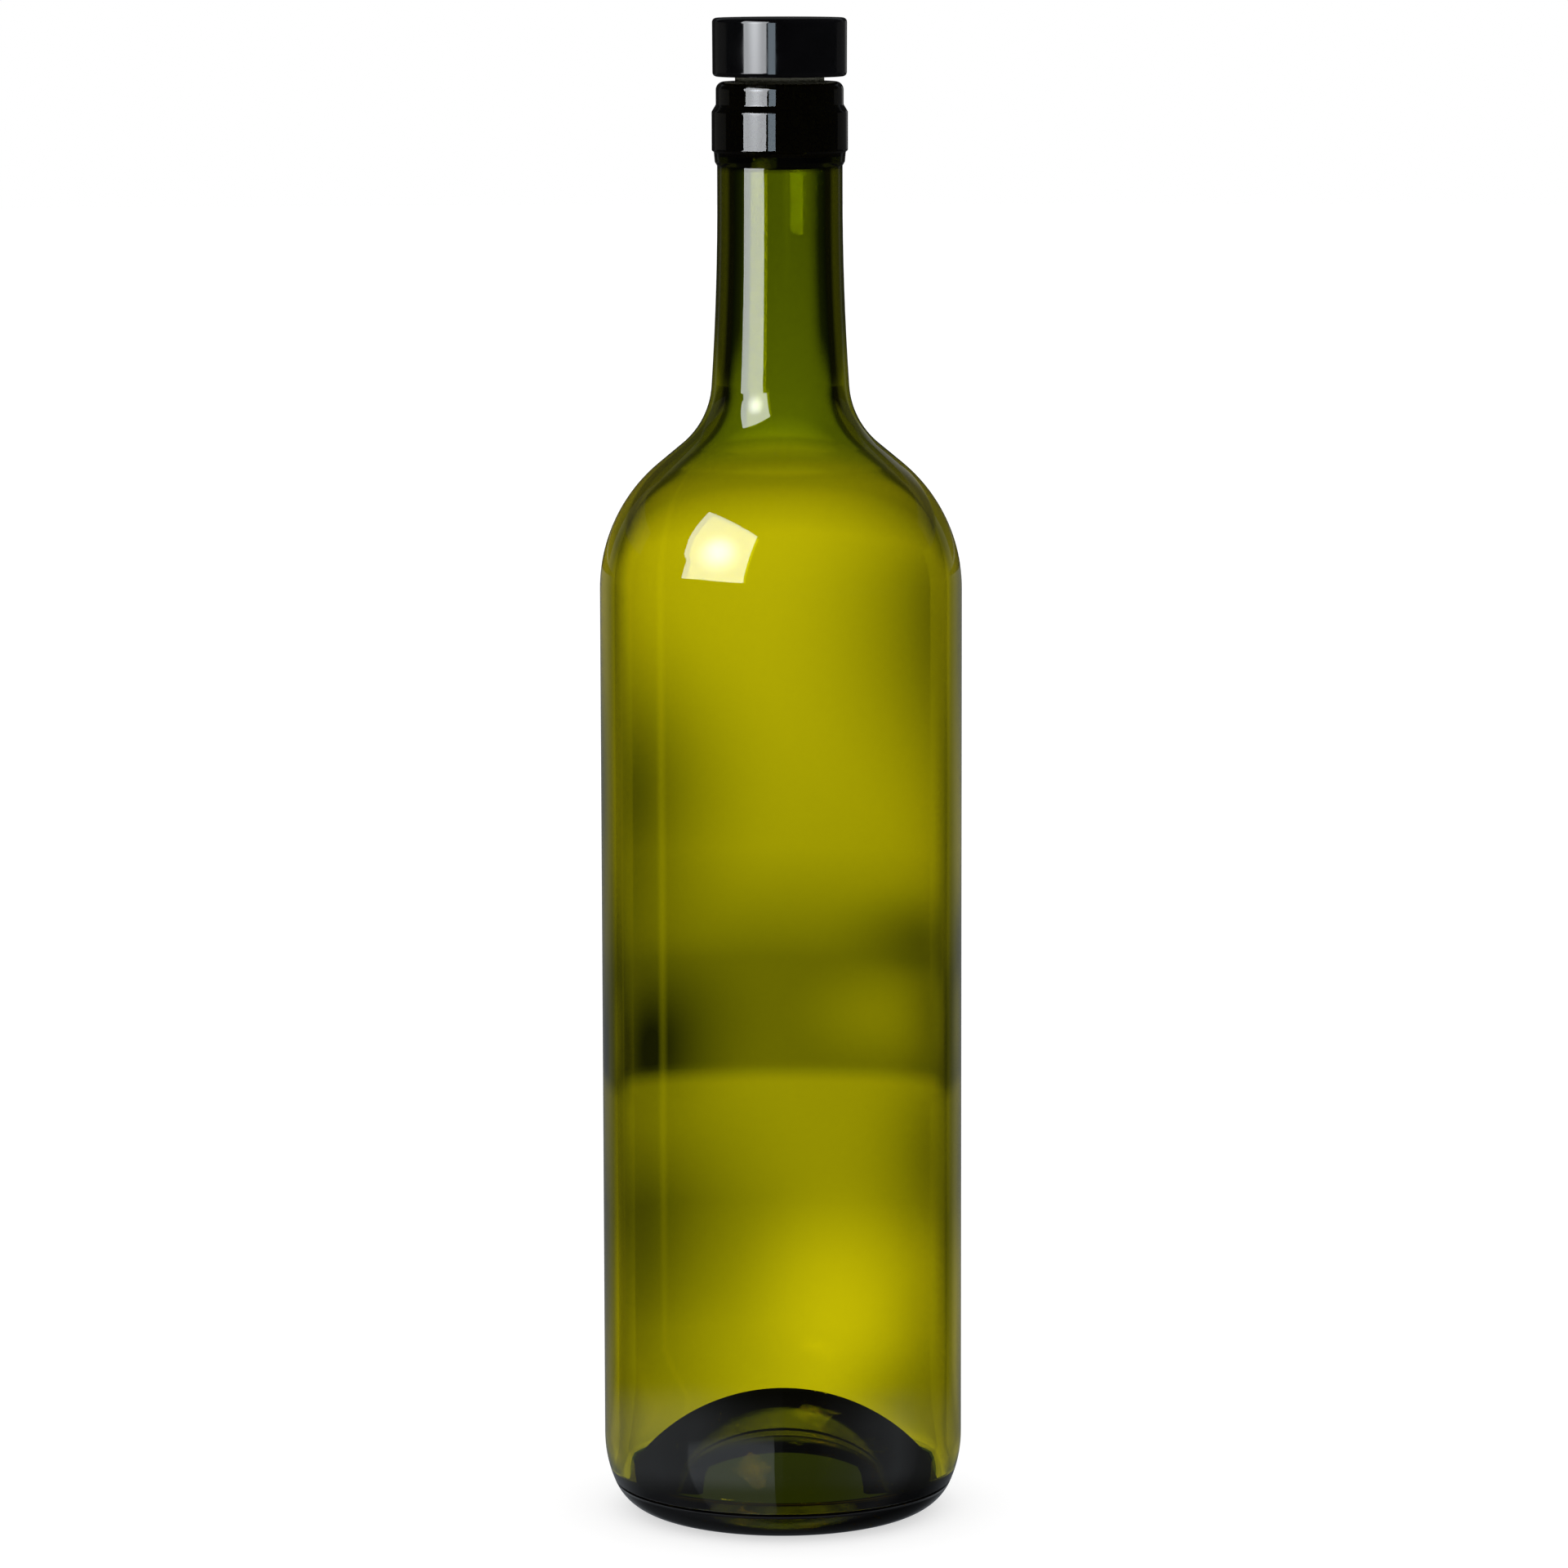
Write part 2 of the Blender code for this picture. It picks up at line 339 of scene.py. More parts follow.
SOFT = {"interpolation_type": "SMOOTHSTEP"}     # for a change that is gentle at both of its ends
WHITE = linear("FFFFFF")


def new_material(name):
    """An empty node material and its output node."""
    made = bpy.data.materials.new(name)
    made.use_nodes = True
    made.node_tree.nodes.clear()
    return made, add(made.node_tree, "ShaderNodeOutputMaterial")


# Painted shade in the glass's colour: clear in the body, and darker at the neck, at the mouth (where it also
# keeps the cork inside dark) and at the heel (where the table lies in shade). The heights and radii are
# where each change starts and ends.
NECK_PAINTED_SHADE = "CEDFBC"
NECK_PAINTED_SHADE_HEIGHTS = (215 * MM, 227 * MM)
MOUTH_PAINTED_SHADE = "596559"
MOUTH_PAINTED_SHADE_HEIGHTS = (280.2 * MM, 281.6 * MM)
HEEL_PAINTED_SHADE = "5D615D"
HEEL_PAINTED_SHADE_HEIGHTS = (8 * MM, 5 * MM)
HEEL_PAINTED_SHADE_RADII = (24.5 * MM, 26 * MM)
DEPTH_COLOUR = "F4F200"
DEPTH_DENSITY = 1100.0        # per metre of glass
WAVES_PER_METRE = 70.0        # waves of about 14 mm across
WAVE_HEIGHT = 0.015 * MM


def bottle_glass():
    """Soda-lime bottle glass, blown in a mould: the colour is in its depth, and slow waves from the
    blowing bend what is seen through it a little."""
    made, out = new_material("blown olive bottle glass")
    tree = made.node_tree
    coords = add(tree, "ShaderNodeTexCoord").outputs["Object"]
    place = add(tree, "ShaderNodeSeparateXYZ", {0: coords}).outputs
    flat = add(tree, "ShaderNodeCombineXYZ", {"X": place["X"], "Y": place["Y"]}).outputs[0]
    radius = add(tree, "ShaderNodeVectorMath", {0: flat}, operation="LENGTH").outputs["Value"]
    neck, mouth, low, wide = [
        add(tree, "ShaderNodeMapRange", {
            "Value": value, "From Min": start, "From Max": end}, **SOFT).outputs[0]
        for value, (start, end) in (
            (place["Z"], NECK_PAINTED_SHADE_HEIGHTS), (place["Z"], MOUTH_PAINTED_SHADE_HEIGHTS),
            (place["Z"], HEEL_PAINTED_SHADE_HEIGHTS), (radius, HEEL_PAINTED_SHADE_RADII))]
    heel = add(tree, "ShaderNodeMath", {0: low, 1: wide}, operation="MULTIPLY").outputs[0]
    # painted shade: the clear colour darkens towards the neck, the mouth and the heel
    shaded_tint = WHITE
    for amount, darker in ((neck, NECK_PAINTED_SHADE), (mouth, MOUTH_PAINTED_SHADE), (heel, HEEL_PAINTED_SHADE)):
        shaded_tint = add(tree, "ShaderNodeMix", {
            0: amount, 6: shaded_tint, 7: linear(darker)}, data_type="RGBA").outputs[2]
    # the waves are about three times as tall as across
    stretched = add(tree, "ShaderNodeMapping", {"Vector": coords, "Scale": (1, 1, 0.35)}).outputs[0]
    waves = add(tree, "ShaderNodeTexNoise", {
        "Vector": stretched, "Scale": WAVES_PER_METRE, "Detail": 1.0}).outputs[0]
    uneven = add(tree, "ShaderNodeBump", {
        "Height": waves, "Strength": 1.0, "Distance": WAVE_HEIGHT}).outputs[0]
    shader = add(tree, "ShaderNodeBsdfPrincipled", {
        "Base Color": shaded_tint, "Roughness": 0.0, "IOR": 1.52, "Transmission Weight": 1.0, "Normal": uneven})
    depth = add(tree, "ShaderNodeVolumeAbsorption", {
        "Color": linear(DEPTH_COLOUR), "Density": DEPTH_DENSITY})
    tree.links.new(shader.outputs[0], out.inputs["Surface"])
    tree.links.new(depth.outputs[0], out.inputs["Volume"])
    return made


CAP_COLOURS = ("040405", "0A0A0C")
CAP_ROUGHNESS = (0.07, 0.12)
CLOUDS_PER_METRE = 160.0      # patches of about 6 mm, a little duller or glossier
PEEL_PER_METRE = 330.0        # orange peel: waves of about 3 mm in the moulded skin
PEEL_HEIGHT = 0.004 * MM


def cap_plastic():
    """ABS, moulded in a polished tool: black with a clear gloss that wavers a little."""
    made, out = new_material("moulded black abs")
    tree = made.node_tree
    coords = add(tree, "ShaderNodeTexCoord").outputs["Object"]
    cloudy = add(tree, "ShaderNodeTexNoise", {
        "Vector": coords, "Scale": CLOUDS_PER_METRE, "Detail": 2.0}).outputs[0]
    rough = add(tree, "ShaderNodeMapRange", {
        "Value": cloudy, "From Min": 0.3, "From Max": 0.7,
        "To Min": CAP_ROUGHNESS[0], "To Max": CAP_ROUGHNESS[1]}, **SOFT).outputs[0]
    darker, paler = [linear(colour) for colour in CAP_COLOURS]
    colour = add(tree, "ShaderNodeMix", {0: cloudy, 6: darker, 7: paler}, data_type="RGBA").outputs[2]
    peel = add(tree, "ShaderNodeTexNoise", {
        "Vector": coords, "Scale": PEEL_PER_METRE, "Detail": 0.0}).outputs[0]
    skin = add(tree, "ShaderNodeBump", {
        "Height": peel, "Strength": 1.0, "Distance": PEEL_HEIGHT}).outputs[0]
    shader = add(tree, "ShaderNodeBsdfPrincipled", {
        "Base Color": colour, "Roughness": rough, "IOR": 1.5, "Normal": skin})
    tree.links.new(shader.outputs[0], out.inputs["Surface"])
    return made


CORK_COLOUR = "D2AF76"
PALE_GRAIN = "EAD09A"
SEAM_COLOUR = "B08A58"
BARK_COLOUR = "9C7444"
GAP_SHADE_COLOUR = "8A8A7C"
GRAINS_PER_METRE = 650.0      # cork grains of about 1.5 mm
SEAM_REACH = 0.09             # of a grain's width, in from its edge
BARK_PER_METRE = 420.0        # flecks of bark of about 2.4 mm
BARK_EDGES = (0.62, 0.70)     # the cloudy pattern's level where a fleck starts and where it is full
CREASE_DEPTH = 0.08 * MM
GAP_SHADE_HEIGHTS = (MOUTH_TOP - 1.5 * MM, MOUTH_TOP - 0.5 * MM)


def cork_material():
    """Ground cork, moulded and pressed: matt beige grains with darker bark between them."""
    made, out = new_material("pressed beige cork")
    tree = made.node_tree
    coords = add(tree, "ShaderNodeTexCoord").outputs["Object"]
    grain = add(tree, "ShaderNodeTexVoronoi", {"Vector": coords, "Scale": GRAINS_PER_METRE}).outputs["Color"]
    shade = add(tree, "ShaderNodeSeparateColor", {0: grain}).outputs[0]
    gaps = add(tree, "ShaderNodeTexVoronoi", {
        "Vector": coords, "Scale": GRAINS_PER_METRE}, feature="DISTANCE_TO_EDGE").outputs["Distance"]
    seam = add(tree, "ShaderNodeMapRange", {
        "Value": gaps, "From Max": SEAM_REACH, "To Min": 1.0, "To Max": 0.0}, **SOFT).outputs[0]
    bark = add(tree, "ShaderNodeTexNoise", {
        "Vector": coords, "Scale": BARK_PER_METRE, "Detail": 3.0}).outputs[0]
    flecks = add(tree, "ShaderNodeMapRange", {
        "Value": bark, "From Min": BARK_EDGES[0], "From Max": BARK_EDGES[1]}, **SOFT).outputs[0]
    # painted shade: the cork is darker and greyer in the gap between the cap and the mouth, where it lies in
    # the cap's shade
    height = add(tree, "ShaderNodeSeparateXYZ", {0: coords}).outputs["Z"]
    gap_shade = add(tree, "ShaderNodeMapRange", {
        "Value": height, "From Min": GAP_SHADE_HEIGHTS[0], "From Max": GAP_SHADE_HEIGHTS[1]}, **SOFT).outputs[0]
    colour = linear(CORK_COLOUR)
    for amount, other in ((shade, PALE_GRAIN), (seam, SEAM_COLOUR), (flecks, BARK_COLOUR),
                          (gap_shade, GAP_SHADE_COLOUR)):
        colour = add(tree, "ShaderNodeMix", {
            0: amount, 6: colour, 7: linear(other)}, data_type="RGBA").outputs[2]
    relief = add(tree, "ShaderNodeMath", {0: bark, 1: seam}, operation="SUBTRACT").outputs[0]
    creased = add(tree, "ShaderNodeBump", {
        "Height": relief, "Strength": 0.8, "Distance": CREASE_DEPTH}).outputs[0]
    shader = add(tree, "ShaderNodeBsdfPrincipled", {
        "Base Color": colour, "Roughness": 0.85, "Specular IOR Level": 0.0, "Normal": creased})
    tree.links.new(shader.outputs[0], out.inputs["Surface"])
    return made


def make_camera():
    """The photograph's viewpoint."""
    data = bpy.data.cameras.new("camera")
    data.lens = LENS_MM
    data.sensor_width = SENSOR_MM
    data.clip_end = VIEW_REACH
    camera = bpy.data.objects.new("camera", data)
    tilt = Matrix.Rotation(radians(90 - CAMERA_TILT), 4, "X")
    roll = Matrix.Rotation(radians(CAMERA_ROLL), 4, "Z")
    camera.matrix_world = Matrix.Translation(CAMERA_PLACE) @ (tilt @ roll)
    SCENE.collection.objects.link(camera)
    SCENE.camera = camera


# The colours of lights are linear, because some of them go over 1. Edges are where a change starts
# and ends: an angle, or how far up or back a direction points, from -1 to 1.
ROOM_EDGES = (0.1, 0.5)
ROOM_LEVEL = 1.15
# What the gloss shows of the room: dark in front, pale behind
GLOSS_COLOUR = (0.93, 1.0, 1.08, 1)
FRONT_LEVEL = 0.012
BACK_LEVEL = 0.15
BACK_EDGES = (0.66, 0.88)
DEEP_LEVEL = 0.006            # in light that has crossed more than one wall
SHOULDER_LEVEL = 0.20         # in light from above that comes back out of the shoulder's wall
SHOULDER_EDGES = (0.12, 0.3)
# How bright the table is round the bottle: degrees from straight behind, the camera's left under 0
TABLE_LEVELS = ((-180, 0.10), (-150, 0.18), (-133, 0.34), (-122, 0.43), (-90, 0.40), (-60, 0.22), (60, 0.08),
                (80, 0.14), (100, 0.38), (122, 0.28), (137, 0.16), (160, 0.06), (180, 0.06))
TABLE_EDGES = (-0.2225, -0.2300)
# A bright sheet on the table: its two sides, its far edge and its near edge
SHEET_LEVEL = 0.80
SHEET_RIGHT = (radians(-174.8), radians(-174.1))
SHEET_LEFT = (radians(-112), radians(-118))
SHEET_FAR = (-0.2300, -0.2335)
SHEET_NEAR = (-0.90, -0.82)
HEEL_SHADE = 0.33             # what is left of the table's light close to the heel
HEEL_SHADE_EDGES = (-0.34, -0.62)
# What shows through the glass past the tent: a grey room over a green-lit table
ROOM_BEYOND = (0.20, 0.20, 0.17, 1)
TABLE_BEYOND = (0.065, 0.11, 0.05, 1)
BEYOND_EDGES = (-0.05, -0.12)

# How often light has been scattered, mirrored or let through a face of glass on its way to the
# camera is a whole number, and is tested between whole numbers
NONE_YET = 0.5
ONE_OR_TWO = (1.5, 1.0)       # middle and reach
PAST_A_WALL = 2.5
PAST_THE_PUNT = (5.4, 5.6)


def light_tests(tree):
    """The light path, and whether nothing matt has scattered the light, whether it was mirrored,
    and whether it has crossed more than one wall."""
    path = add(tree, "ShaderNodeLightPath").outputs
    unscattered, mirrored, past = [
        add(tree, "ShaderNodeMath", {0: path[count], 1: limit}, operation=test).outputs[0]
        for count, limit, test in (("Diffuse Depth", NONE_YET, "LESS_THAN"),
                                   ("Glossy Depth", NONE_YET, "GREATER_THAN"),
                                   ("Transmission Depth", PAST_A_WALL, "GREATER_THAN"))]
    return path, unscattered, mirrored, past


def gloss_level(tree, crossed, past, toward):
    """How bright the surroundings are in the gloss, for each direction and for how many faces of
    glass the light has crossed."""
    level = add(tree, "ShaderNodeMapRange", {
        "Value": toward["Y"], "From Min": BACK_EDGES[0], "From Max": BACK_EDGES[1],
        "To Min": FRONT_LEVEL, "To Max": BACK_LEVEL}, **SOFT).outputs[0]
    level = add(tree, "ShaderNodeMix", {0: past, 2: level, 3: DEEP_LEVEL}).outputs[0]
    wall = add(tree, "ShaderNodeMath", {
        0: crossed, 1: ONE_OR_TWO[0], 2: ONE_OR_TWO[1]}, operation="COMPARE").outputs[0]
    above = add(tree, "ShaderNodeMapRange", {
        "Value": toward["Z"], "From Min": SHOULDER_EDGES[0], "From Max": SHOULDER_EDGES[1],
        "To Max": SHOULDER_LEVEL}, **SOFT).outputs[0]
    wall = add(tree, "ShaderNodeMath", {0: wall, 1: above}, operation="MULTIPLY").outputs[0]
    level = add(tree, "ShaderNodeMath", {0: level, 1: wall}, operation="MAXIMUM").outputs[0]

    # the table shows in the outer gloss low on the bottle, with the bright sheet on the left
    outer = add(tree, "ShaderNodeMath", {0: crossed, 1: NONE_YET}, operation="LESS_THAN").outputs[0]
    bearing = add(tree, "ShaderNodeMath", {0: toward["X"], 1: toward["Y"]}, operation="ARCTAN2").outputs[0]
    around = add(tree, "ShaderNodeMath", {
        0: bearing, 1: 0.5 / pi, 2: 0.5}, operation="MULTIPLY_ADD").outputs[0]
    table = add(tree, "ShaderNodeValToRGB", {0: around}, stops=[
        ((degrees + 180) / 360, part) for degrees, part in TABLE_LEVELS]).outputs[0]
    low = add(tree, "ShaderNodeMapRange", {
        "Value": toward["Z"], "From Min": TABLE_EDGES[0], "From Max": TABLE_EDGES[1]}, **SOFT).outputs[0]
    low = add(tree, "ShaderNodeMath", {0: low, 1: outer}, operation="MULTIPLY").outputs[0]
    level = add(tree, "ShaderNodeMix", {0: low, 2: level, 3: table}).outputs[0]
    sheet = outer
    for value, (start, end), full in (
            (bearing, SHEET_RIGHT, SHEET_LEVEL), (bearing, SHEET_LEFT, 1.0),
            (toward["Z"], SHEET_FAR, 1.0), (toward["Z"], SHEET_NEAR, 1.0)):
        part = add(tree, "ShaderNodeMapRange", {
            "Value": value, "From Min": start, "From Max": end, "To Max": full}, **SOFT).outputs[0]
        sheet = add(tree, "ShaderNodeMath", {0: sheet, 1: part}, operation="MULTIPLY").outputs[0]
    level = add(tree, "ShaderNodeMath", {0: level, 1: sheet}, operation="MAXIMUM").outputs[0]
    # the table close to the heel lies in the bottle's own shade
    shade = add(tree, "ShaderNodeMapRange", {
        "Value": toward["Z"], "From Min": HEEL_SHADE_EDGES[0], "From Max": HEEL_SHADE_EDGES[1],
        "To Min": 1.0, "To Max": HEEL_SHADE}, **SOFT).outputs[0]
    return add(tree, "ShaderNodeMath", {0: level, 1: shade}, operation="MULTIPLY").outputs[0]


def make_world():
    """A white studio, with its own dark surroundings in the gloss and behind the glass."""
    world = bpy.data.worlds.new("studio")
    SCENE.world = world
    world.use_nodes = True
    tree = world.node_tree
    tree.nodes.clear()
    path, unscattered, mirrored, past = light_tests(tree)
    direction = add(tree, "ShaderNodeTexCoord").outputs["Generated"]
    toward = add(tree, "ShaderNodeSeparateXYZ", {0: direction}).outputs

    # the room lights from above, and is white to the camera
    above = add(tree, "ShaderNodeMapRange", {
        "Value": toward["Z"], "From Min": ROOM_EDGES[0], "From Max": ROOM_EDGES[1],
        "To Max": ROOM_LEVEL}, **SOFT).outputs[0]
    level = add(tree, "ShaderNodeMath", {0: path["Is Camera Ray"], 1: above}, operation="MAXIMUM").outputs[0]
    room = add(tree, "ShaderNodeBackground", {"Color": WHITE, "Strength": level})

    low = add(tree, "ShaderNodeMapRange", {
        "Value": toward["Z"], "From Min": BEYOND_EDGES[0], "From Max": BEYOND_EDGES[1]}, **SOFT).outputs[0]
    beyond = add(tree, "ShaderNodeMix", {
        0: low, 6: ROOM_BEYOND, 7: TABLE_BEYOND}, data_type="RGBA").outputs[2]
    level = add(tree, "ShaderNodeMath", {0: past, 1: unscattered}, operation="MULTIPLY").outputs[0]
    through = add(tree, "ShaderNodeBackground", {"Color": beyond, "Strength": level})

    level = gloss_level(tree, path["Transmission Depth"], past, toward)
    gloss = add(tree, "ShaderNodeBackground", {"Color": GLOSS_COLOUR, "Strength": level})

    lit = add(tree, "ShaderNodeMixShader", {
        0: path["Is Transmission Ray"], 1: room.outputs[0], 2: through.outputs[0]})
    in_gloss = add(tree, "ShaderNodeMath", {0: mirrored, 1: unscattered}, operation="MULTIPLY").outputs[0]
    lit = add(tree, "ShaderNodeMixShader", {0: in_gloss, 1: lit.outputs[0], 2: gloss.outputs[0]})
    add(tree, "ShaderNodeOutputWorld", {"Surface": lit.outputs[0]})


FLOOR_RADIUS = 6              # metres
FLOOR_SIDES = 96
FLOOR_PAINT = "BCBCBC"
FLOOR_GLOW = 0.62


def make_floor():
    """A plain pale floor."""
    shape = bmesh.new()
    bmesh.ops.create_circle(shape, cap_ends=True, segments=FLOOR_SIDES, radius=FLOOR_RADIUS)
    floor = new_object("floor", shape)
    made, out = new_material("pale floor")
    tree = made.node_tree
    paint = add(tree, "ShaderNodeBsdfDiffuse", {"Color": linear(FLOOR_PAINT)})
    lift = add(tree, "ShaderNodeEmission", {"Strength": FLOOR_GLOW})
    both = add(tree, "ShaderNodeAddShader", {0: paint.outputs[0], 1: lift.outputs[0]})
    tree.links.new(both.outputs[0], out.inputs["Surface"])
    floor.data.materials.append(made)
    floor.visible_glossy = False
    floor.visible_transmission = False


HOT_RADIUS = 95 * MM          # of the bright middle of a panel


def make_panel(name, azimuth, distance, corners, colour, strength, hot_place=(0, 0), hot=0.0,
               nearest=0.0, farthest=9.0, shows_through=True):
    """A glowing panel that faces the bottle, with corners (to its own right, height) in mm, and with
    its azimuth in degrees round from the camera's side. It is seen only from nearest to farthest
    away, and is brighter by hot at its hot place."""
    shape = bmesh.new()
    away = Vector((sin(radians(azimuth)), -cos(radians(azimuth)), 0))
    along = away.cross(UP)
    verts = [shape.verts.new(away * distance + along * across * MM + UP * height * MM)
             for across, height in corners]
    bmesh.ops.contextual_create(shape, geom=verts)
    box = new_object(name, shape)
    made, out = new_material(name + " cloth")
    tree = made.node_tree
    centre = away * distance + along * hot_place[0] * MM + UP * hot_place[1] * MM
    coords = add(tree, "ShaderNodeTexCoord").outputs["Object"]
    off_centre = add(tree, "ShaderNodeVectorMath", {
        0: coords, 1: centre}, operation="DISTANCE").outputs["Value"]
    power = add(tree, "ShaderNodeMapRange", {
        "Value": off_centre, "From Max": HOT_RADIUS, "To Min": strength + hot, "To Max": strength},
        **SOFT).outputs[0]
    path = add(tree, "ShaderNodeLightPath").outputs
    for part, limit, test in (("Diffuse Depth", NONE_YET, "LESS_THAN"),
                              ("Ray Length", nearest, "GREATER_THAN"),
                              ("Ray Length", farthest, "LESS_THAN")):
        seen = add(tree, "ShaderNodeMath", {0: path[part], 1: limit}, operation=test).outputs[0]
        power = add(tree, "ShaderNodeMath", {0: seen, 1: power}, operation="MULTIPLY").outputs[0]
    glow = add(tree, "ShaderNodeEmission", {"Color": colour, "Strength": power})
    tree.links.new(glow.outputs[0], out.inputs["Surface"])
    box.data.materials.append(made)
    box.visible_camera = False
    box.visible_diffuse = False
    box.visible_shadow = False
    box.visible_transmission = shows_through


APRON_HEIGHT = 198 * MM
APRON_RADII = (43 * MM, 420 * MM)
APRON_STEPS = 90
APRON_LEVEL = 0.02


def make_apron():
    """A dark ring below the mouth, so that the undersides of its rings and the cap stay dark."""
    shape = bmesh.new()
    inner, outer = [point(radius, APRON_HEIGHT) for radius in APRON_RADII]
    straight_to(shape, shape.verts.new(inner), outer)
    spin_round(shape, APRON_STEPS)
    apron = new_object("apron", shape)
    made, out = new_material("dark apron")
    glow = add(made.node_tree, "ShaderNodeEmission", {"Color": WHITE, "Strength": APRON_LEVEL})
    made.node_tree.links.new(glow.outputs[0], out.inputs["Surface"])
    apron.data.materials.append(made)
    apron.visible_camera = False
    apron.visible_diffuse = False
    apron.visible_transmission = False
    apron.visible_shadow = False


TENT_RADIUS = 155 * MM
TENT_HEIGHT = 300 * MM
TENT_FOOT = 45 * MM           # inner edge of the cloth on the floor
TENT_STEPS = 180
CLOTH_ABOVE_FLOOR = 0.4 * MM
CLOTH_DROP = 0.22             # how many mm the pattern on the floor drops for each mm inwards
REPEAT = radians(22.5)        # half of the cloth's pattern, which repeats in mirror image
DARKEST = 0.02
# How bright the cloth is: height in mm, level. A sill at 65 mm is the one sharp edge.
CLOTH_LEVELS = ((-30, 1.0), (5, 1.0), (35, 0.64), (63, 0.66), (67, 0.30), (92, 0.30), (118, 0.75),
                (195, 1.08), (215, 0.55), (260, 0.38), (300, 0.34))
# Dark cards (under 0) and lamps (over 0) behind the cloth: across, height, half width and half
# height in mm, and how much brighter
CARDS_AND_LAMPS = (
    (-56, 134, 60, 48, -0.60),       # card on the left, high
    (-45, 76, 45, 26, -0.25),        # card on the left, above the sill
    (-52, 14, 72, 72, -0.60),        # card on the left, low
    (60, 176, 68, 60, -0.62),        # card on the right, high
    (50, 99, 42, 14, -0.20),         # card on the right, a narrow one
    (58, 46, 42, 30, -0.28),         # card on the right, below the sill
    (60, -15, 50, 40, -0.55),        # card on the right, at the foot
    (30, 79, 32, 16, 0.18),          # lamp above the sill
    (16, 14, 34, 30, 0.26),          # lamp low in the middle
    (6, 285, 5.5, 45, 0.13),         # stripe in the neck
    (-39.8, 110, 3.2, 180, 0.15),    # thin upright line on the left
)
# How bright the cloth is round the bottle: degrees away from the place behind it, level
ROUND_LEVELS = ((0, 1.0), (24, 1.0), (32, 0.7), (45, 0.4), (63, 0.8), (70, 1.0), (180, 1.0))
# The neck is lit by a narrow window behind it and three more, each a quarter turn on
WINDOW_HEIGHTS = (228 * MM, 242 * MM)
WINDOW_EDGES = (radians(9), radians(24))
WINDOW_APART = pi / 2
BESIDE_WINDOW = 0.12          # level
OPEN_FROM = radians(75)       # from straight behind, past which mirrored light passes the cloth
GREENER = 0.93                # a power, which makes a dim place a little greener
PUNT_RED = 1.3                # how much brighter the cloth is through the punt's glass as well
PUNT_GREEN = 2.1


def cloth_level(tree, bearing, away, height):
    """How bright the cloth is at a bearing and a height. Away is the bearing without its sign."""
    turned = add(tree, "ShaderNodeMath", {0: bearing, 1: REPEAT}, operation="ADD").outputs[0]
    turned = add(tree, "ShaderNodeMath", {0: turned, 1: 2 * REPEAT}, operation="PINGPONG").outputs[0]
    turned = add(tree, "ShaderNodeMath", {0: turned, 1: REPEAT}, operation="SUBTRACT").outputs[0]
    across = add(tree, "ShaderNodeMath", {0: turned, 1: TENT_RADIUS}, operation="MULTIPLY").outputs[0]
    flat = add(tree, "ShaderNodeCombineXYZ", {"X": across, "Y": height}).outputs[0]
    lowest, highest = CLOTH_LEVELS[0][0], CLOTH_LEVELS[-1][0]
    up = add(tree, "ShaderNodeMapRange", {
        "Value": height, "From Min": lowest * MM, "From Max": highest * MM}).outputs[0]
    level = add(tree, "ShaderNodeValToRGB", {0: up}, stops=[
        ((mark - lowest) / (highest - lowest), part) for mark, part in CLOTH_LEVELS]).outputs[0]
    for middle, rise, half_width, half_height, change in CARDS_AND_LAMPS:
        local = add(tree, "ShaderNodeMapping", {
            "Vector": flat, "Location": (middle * MM, rise * MM, 0),
            "Scale": (half_width * MM, half_height * MM, 1)}, vector_type="TEXTURE").outputs[0]
        off_centre = add(tree, "ShaderNodeVectorMath", {0: local}, operation="LENGTH").outputs["Value"]
        amount = add(tree, "ShaderNodeMapRange", {
            "Value": off_centre, "From Min": 1.0, "From Max": 0.0, "To Max": change}, **SOFT).outputs[0]
        level = add(tree, "ShaderNodeMath", {0: level, 1: amount}, operation="ADD").outputs[0]
    around = add(tree, "ShaderNodeMath", {0: away, 1: pi}, operation="DIVIDE").outputs[0]
    ring = add(tree, "ShaderNodeValToRGB", {0: around}, stops=[
        (degrees / 180, part) for degrees, part in ROUND_LEVELS]).outputs[0]
    return add(tree, "ShaderNodeMath", {0: level, 1: ring}, operation="MULTIPLY").outputs[0]


